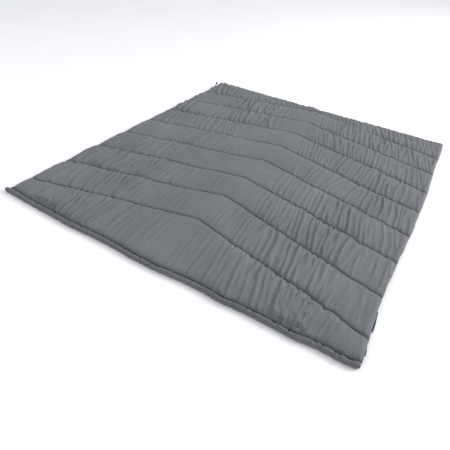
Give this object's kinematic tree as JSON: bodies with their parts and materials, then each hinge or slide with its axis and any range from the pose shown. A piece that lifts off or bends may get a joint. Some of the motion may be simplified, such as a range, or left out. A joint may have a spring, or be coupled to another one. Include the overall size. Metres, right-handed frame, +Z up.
{
  "type": "rectangular sleeping bag",
  "caption": "Quilted rectangular sleeping bag unzipped and opened flat as a quilt: chevron channels, padded collar roll, inner pockets and two-way zip.",
  "frame": {"origin": "on the floor below the fold line, 1.18 m from the head edge and 1.15 m from the foot edge", "axes": "+Z up (lining side), +Y along the fold line toward the foot, -Y toward the padded head edge, +X toward the right half that folds over"},
  "size_m": [2.017, 2.3466, 0.0407],
  "materials": {
    "lining_cloth": "soft matt woven polyester, cool grey",
    "shell_cloth": "semi-matt woven polyester, dark navy",
    "wadding": "white hollow-fibre wadding",
    "thread": "grey sewing thread",
    "zip_tape": "dark woven tape",
    "zip_teeth": "dark moulded plastic",
    "zip_metal": "black enamelled metal",
    "pull_cord": "red braided cord",
    "pull_grip": "soft-touch black"
  },
  "bodies": {
    "left_half": {"left_collar_cover": "lining_cloth", "left_collar_wadding": "wadding", "left_inner_pocket": "lining_cloth", "left_lining": "lining_cloth", "left_outer_shell": "shell_cloth", "left_pocket_stitching": "thread", "left_quilting_thread": "thread", "left_wadding_channel_1": "wadding", "left_wadding_channel_2": "wadding", "left_wadding_channel_3": "wadding", "left_wadding_channel_4": "wadding", "left_wadding_channel_5": "wadding", "left_wadding_channel_6": "wadding", "left_wadding_channel_7": "wadding", "left_wadding_channel_8": "wadding", "left_wadding_channel_9": "wadding", "left_zip_tape": "zip_tape", "left_zip_teeth": "zip_teeth", "left_zip_top_stop": "zip_metal", "zip_retainer_box": "zip_teeth"},
    "right_half": {"right_collar_cover": "lining_cloth", "right_collar_wadding": "wadding", "right_inner_pocket": "lining_cloth", "right_lining": "lining_cloth", "right_outer_shell": "shell_cloth", "right_pocket_stitching": "thread", "right_quilting_thread": "thread", "right_wadding_channel_1": "wadding", "right_wadding_channel_2": "wadding", "right_wadding_channel_3": "wadding", "right_wadding_channel_4": "wadding", "right_wadding_channel_5": "wadding", "right_wadding_channel_6": "wadding", "right_wadding_channel_7": "wadding", "right_wadding_channel_8": "wadding", "right_wadding_channel_9": "wadding", "right_zip_tape": "zip_tape", "right_zip_teeth": "zip_teeth", "right_zip_top_stop": "zip_metal", "zip_insertion_pin": "zip_teeth"},
    "main_slider": {"main_slider_body": "zip_metal", "main_slider_bail": "zip_metal"},
    "main_pull_tab": {"main_pull_tab": "zip_metal"},
    "main_pull_cord": {"main_pull_cord": "pull_cord", "main_pull_grip": "pull_grip"},
    "foot_slider": {"foot_slider_body": "zip_metal", "foot_slider_bail": "zip_metal"},
    "foot_pull_tab": {"foot_pull_tab": "zip_metal"},
    "foot_pull_cord": {"foot_pull_cord": "pull_cord", "foot_pull_grip": "pull_grip"}
  },
  "joints": [
    {"name": "bag_fold", "type": "hinge", "parent": "left_half", "child": "right_half", "pos_m": [0, 0, 0.041], "axis": [0, -1, 0], "range_deg": [0, 179]},
    {"name": "main_slider_travel", "type": "slide", "parent": "left_half", "child": "main_slider", "axis": [0, -1, 0], "range_m": [-0.03, 2.13]},
    {"name": "main_pull_flip", "type": "hinge", "parent": "main_slider", "child": "main_pull_tab", "pos_m": [-1.0015, 1.03, 0.016], "axis": [-1, 0, 0], "range_deg": [-150, 19]},
    {"name": "main_cord_swing", "type": "hinge", "parent": "main_pull_tab", "child": "main_pull_cord", "pos_m": [-1.0015, 1.04462, 0.02251], "axis": [0, -0.4067, 0.9135], "range_deg": [-5, 70]},
    {"name": "foot_slider_travel", "type": "slide", "parent": "left_half", "child": "foot_slider", "axis": [-1, 0, 0], "range_m": [0, 0.85]},
    {"name": "foot_pull_flip", "type": "hinge", "parent": "foot_slider", "child": "foot_pull_tab", "pos_m": [-0.068, 1.1515, 0.016], "axis": [0, 1, 0], "range_deg": [-1, 170]},
    {"name": "foot_cord_swing", "type": "hinge", "parent": "foot_pull_tab", "child": "foot_pull_cord", "pos_m": [-0.08396, 1.1515, 0.01712], "axis": [-0.0698, 0, -0.9976], "range_deg": [-5, 70]}
  ]
}
